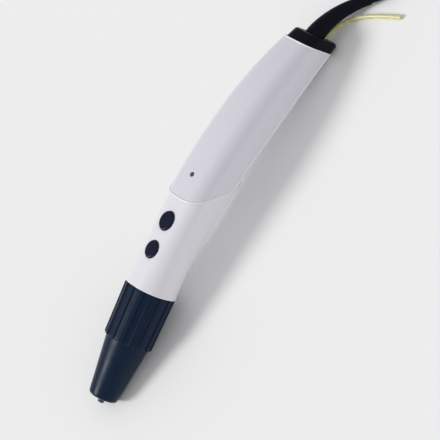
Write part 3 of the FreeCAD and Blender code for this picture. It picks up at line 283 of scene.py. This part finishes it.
def metal(name, colour, rough=(0.22, 0.4), stretch=(20.0, 900.0, 900.0)):
    """Drawn or turned metal with fine lines along X."""
    material, tree, bsdf = shader(name)
    place = tree.nodes.new("ShaderNodeTexCoord")
    mapping = tree.nodes.new("ShaderNodeMapping")
    lines = tree.nodes.new("ShaderNodeTexNoise")
    set_inputs(mapping, Scale=stretch)
    set_inputs(lines, Scale=1.0, Detail=4.0)
    tree.links.new(place.outputs["Object"], mapping.inputs["Vector"])
    tree.links.new(mapping.outputs["Vector"], lines.inputs["Vector"])
    value = lines.outputs["Fac"]
    base = tinted(tree, value, scaled(colour, METAL_DARK), scaled(colour, METAL_PALE))
    tree.links.new(base, bsdf.inputs["Base Color"])
    tree.links.new(spread(tree, value, *rough), bsdf.inputs["Roughness"])
    bumped(tree, bsdf, value, METAL_LINE_STRENGTH, METAL_LINE_DEPTH)
    set_inputs(bsdf, Metallic=1.0)
    return material


def filament_material():
    """Pale yellow, slightly clear plastic strand."""
    material, tree, bsdf = shader("filament_yellow")
    base = tinted(tree, noise(tree, 120.0, 2.0), (0.78, 0.74, 0.36), (0.86, 0.83, 0.50))
    tree.links.new(base, bsdf.inputs["Base Color"])
    tree.links.new(spread(tree, noise(tree, 400.0), 0.18, 0.3), bsdf.inputs["Roughness"])
    bumped(tree, bsdf, noise(tree, 1500.0), 0.1, 0.00002)
    set_inputs(bsdf, Transmission_Weight=0.25, Subsurface_Weight=0.4,
               Subsurface_Radius=(0.001, 0.001, 0.0005), Subsurface_Scale=1.0)
    return material


def board_material():
    """Solder-resist green with darker copper lanes under it."""
    material, tree, bsdf = shader("board_green")
    place = tree.nodes.new("ShaderNodeTexCoord")
    brick = tree.nodes.new("ShaderNodeTexBrick")
    set_inputs(brick, Scale=260.0, Color1=(0.015, 0.12, 0.045, 1), Color2=(0.02, 0.16, 0.06, 1),
               Mortar=(0.03, 0.2, 0.09, 1))
    tree.links.new(place.outputs["Object"], brick.inputs["Vector"])
    tree.links.new(brick.outputs["Color"], bsdf.inputs["Base Color"])
    set_inputs(bsdf, Roughness=0.3)
    return material


SHELL = dict(rough=(0.34, 0.44), grain=1400.0, depth=0.00002, drift=0.012, coat=0.15, skin=0.12)
PLASTICS = {
    "shell_white": ((0.80, 0.785, 0.835), SHELL),
    "lid_grey": ((0.72, 0.70, 0.775), SHELL),
    # lid rim: coloured paler than lid_grey, a painted highlight along the lid's front edge
    "lid_rim_painted_highlight": ((0.90, 0.895, 0.92), dict(
        rough=(0.2, 0.3), grain=1400.0, depth=0.00001, drift=0.01, coat=0.3, skin=0.12)),
    "tip_navy": ((0.0022, 0.0125, 0.036), dict(
        rough=(0.3, 0.4), grain=1200.0, depth=0.00003, drift=0.12, shine=0.16)),
    "cap_dark": ((0.002, 0.0025, 0.009), dict(
        rough=(0.32, 0.44), grain=1200.0, depth=0.00003, drift=0.1, shine=0.1)),
    "button_navy": ((0.004, 0.006, 0.026), dict(
        rough=(0.22, 0.3), grain=1600.0, depth=0.00001, drift=0.08, shine=0.22)),
    "switch_black": ((0.02, 0.02, 0.02), {}),
    "chip_black": ((0.02, 0.02, 0.022), dict(rough=(0.4, 0.55))),
    "lens_dark": ((0.045, 0.045, 0.085), dict(
        rough=(0.1, 0.2), grain=1600.0, depth=0.00001, drift=0.05, coat=0.6)),
    "clear_guide": ((0.8, 0.85, 0.85), dict(rough=(0.05, 0.15))),
    "emitter": ((0.8, 0.75, 0.45), dict(rough=(0.1, 0.2))),
    "nozzle_ceramic": ((0.05, 0.052, 0.06), dict(
        rough=(0.25, 0.4), grain=1500.0, depth=0.00002, drift=0.12, coat=0.1)),
    "heater_ceramic": ((0.74, 0.72, 0.68), dict(rough=(0.5, 0.7))),
    "thermistor_glass": ((0.5, 0.25, 0.12), dict(rough=(0.08, 0.15))),
    "ptfe": ((0.84, 0.84, 0.82), dict(
        rough=(0.35, 0.5), grain=800.0, depth=0.00002, drift=0.02, skin=0.3)),
    "holder_black": ((0.035, 0.035, 0.04), dict(rough=(0.45, 0.6), grain=700.0, depth=0.00006)),
    "magnet": ((0.05, 0.05, 0.055), dict(rough=(0.5, 0.7))),
    "lever_acetal": ((0.72, 0.72, 0.69), {}),
    "plug_black": ((0.0025, 0.0028, 0.009), dict(
        rough=(0.42, 0.55), grain=900.0, depth=0.00005, drift=0.1, shine=0.1)),
    "cable_black": ((0.0035, 0.0035, 0.008), dict(
        rough=(0.42, 0.55), grain=700.0, depth=0.00004, drift=0.12, shine=0.14)),
    "tie_black": ((0.014, 0.014, 0.016), dict(
        rough=(0.6, 0.8), grain=500.0, depth=0.0001, drift=0.15)),
    "tongue_white": ((0.75, 0.75, 0.74), {}),
}
METALS = {
    "tube_steel": ((0.55, 0.55, 0.56), {}),
    "motor_steel": ((0.5, 0.5, 0.52), {}),
    "rotor_steel": ((0.42, 0.42, 0.44), {}),
    "gearbox_brass": ((0.55, 0.42, 0.2), {}),
    "screw_brass": ((0.66, 0.5, 0.22), {}),
    "bush_brass": ((0.5, 0.36, 0.17), {}),
    "screw_steel": ((0.66, 0.66, 0.68), dict(rough=(0.3, 0.45), stretch=(900.0, 900.0, 900.0))),
    "spring_steel": ((0.5, 0.48, 0.42), {}),
    "plug_metal": ((0.62, 0.62, 0.63), dict(rough=(0.18, 0.3))),
}
LOOKS = {
    "board_green": board_material(),
    "filament": filament_material(),
    **{name: plastic(name, colour, **look) for name, (colour, look) in PLASTICS.items()},
    **{name: metal(name, colour, **look) for name, (colour, look) in METALS.items()},
}


def dress(obj, slot):
    obj.data.materials.clear()
    obj.data.materials.append(LOOKS[slot])


slot_of = {s["node"]: s["material_slot"] for s in frame["record"]["subparts"]}
for name, node in nodes.items():
    dress(node, slot_of[name])


# Small bevels on the outer solids, whose meshes are split along their sharp edges

SOFT_EDGES = {
    "lower_housing": 0.0001, "top_cover": 0.0001, "tip_cover": 0.00014, "rear_cap": 0.00014,
    "cable_tie": 0.0002, "usb_body": 0.0002, "usb_shell": 0.0001, "plug_body": 0.0002,
}
JOIN = 0.000004
SHARP = math.radians(40)

for name, width in SOFT_EDGES.items():
    weld = nodes[name].modifiers.new("weld", "WELD")
    weld.merge_threshold = JOIN
    bevel = nodes[name].modifiers.new("soft_edges", "BEVEL")
    bevel.limit_method = "ANGLE"
    bevel.angle_limit = SHARP
    bevel.width = width
    bevel.segments = 2
    bevel.use_clamp_overlap = False
    nodes[name].modifiers.new("even_normals", "WEIGHTED_NORMAL")


# Lid lip: a glossy bead along the lid's outer rim, painted brighter than its face as a painted
# highlight

LIP_R = 0.0003
LIP_RING_STEPS = 3


def outer_rim(obj):
    """Points of the object's outermost closed chain of sharp edges, in order."""
    mesh = bmesh.new()
    mesh.from_mesh(obj.data)
    bmesh.ops.remove_doubles(mesh, verts=mesh.verts, dist=JOIN)
    joined = {}
    for edge in mesh.edges:
        if len(edge.link_faces) == 2 and edge.calc_face_angle() > SHARP:
            first, second = edge.verts
            joined.setdefault(first, []).append(second)
            joined.setdefault(second, []).append(first)

    def outward(vertex):
        return abs(vertex.co.y)

    here = max(joined, key=outward)
    path = []
    seen = set()
    while here:
        path.append(here.co.copy())
        seen.add(here)
        here = max((v for v in joined[here] if v not in seen), key=outward, default=None)
    mesh.free()
    return path


def lid_lip_painted_highlight():
    obj, line = add_tube("lid_lip_painted_highlight", "POLY", outer_rim(nodes["top_cover"]), LIP_R, LIP_RING_STEPS)
    line.use_cyclic_u = True
    # The bead's pale colour is a painted highlight on the lid's edge
    dress(obj, "lid_rim_painted_highlight")
    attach(obj, PEN)


lid_lip_painted_highlight()


# What the cords stand for

def finish_cord(obj, slot, *replaced):
    dress(obj, slot)
    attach(obj, PEN)
    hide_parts(*replaced)


finish_cord(cable, "cable_black", "power_cable", "cable_hank")
finish_cord(strand, "filament", "filament_strand")


# Floor and light

FLOOR_REACH = 6.0
FLOOR_COLOUR = (0.90, 0.90, 0.905, 1)
WORLD_STRENGTH = 0.54


def floor():
    data = bpy.data.meshes.new("floor")
    corners = [(x * FLOOR_REACH, y * FLOOR_REACH, 0)
               for x, y in ((-1, -1), (1, -1), (1, 1), (-1, 1))]
    data.from_pydata(corners, [], [(0, 1, 2, 3)])
    material, _, bsdf = shader("pale_floor")
    set_inputs(bsdf, Base_Color=FLOOR_COLOUR, Roughness=0.9, Specular_IOR_Level=0.2)
    data.materials.append(material)
    add_object("floor", data)


def lamp(name, toward, strength, spread_deg):
    """Distant soft lamp that shines from this direction."""
    data = bpy.data.lights.new(name, "SUN")
    data.energy = strength
    data.angle = math.radians(spread_deg)
    obj = add_object(name, data)
    obj.rotation_mode = "QUATERNION"
    obj.rotation_quaternion = Vector(toward).to_track_quat("Z", "Y")


floor()
world = bpy.data.worlds.new("studio")
scene.world = world
world.use_nodes = True
set_inputs(world.node_tree.nodes["Background"], Color=(1.0, 1.0, 1.0, 1), Strength=WORLD_STRENGTH)
lamp("key", (-0.62, 0.38, 0.68), 1.75, 20.0)
lamp("fill", (0.5, -0.8, 0.5), 0.15, 60.0)

scene.view_settings.view_transform = "Standard"
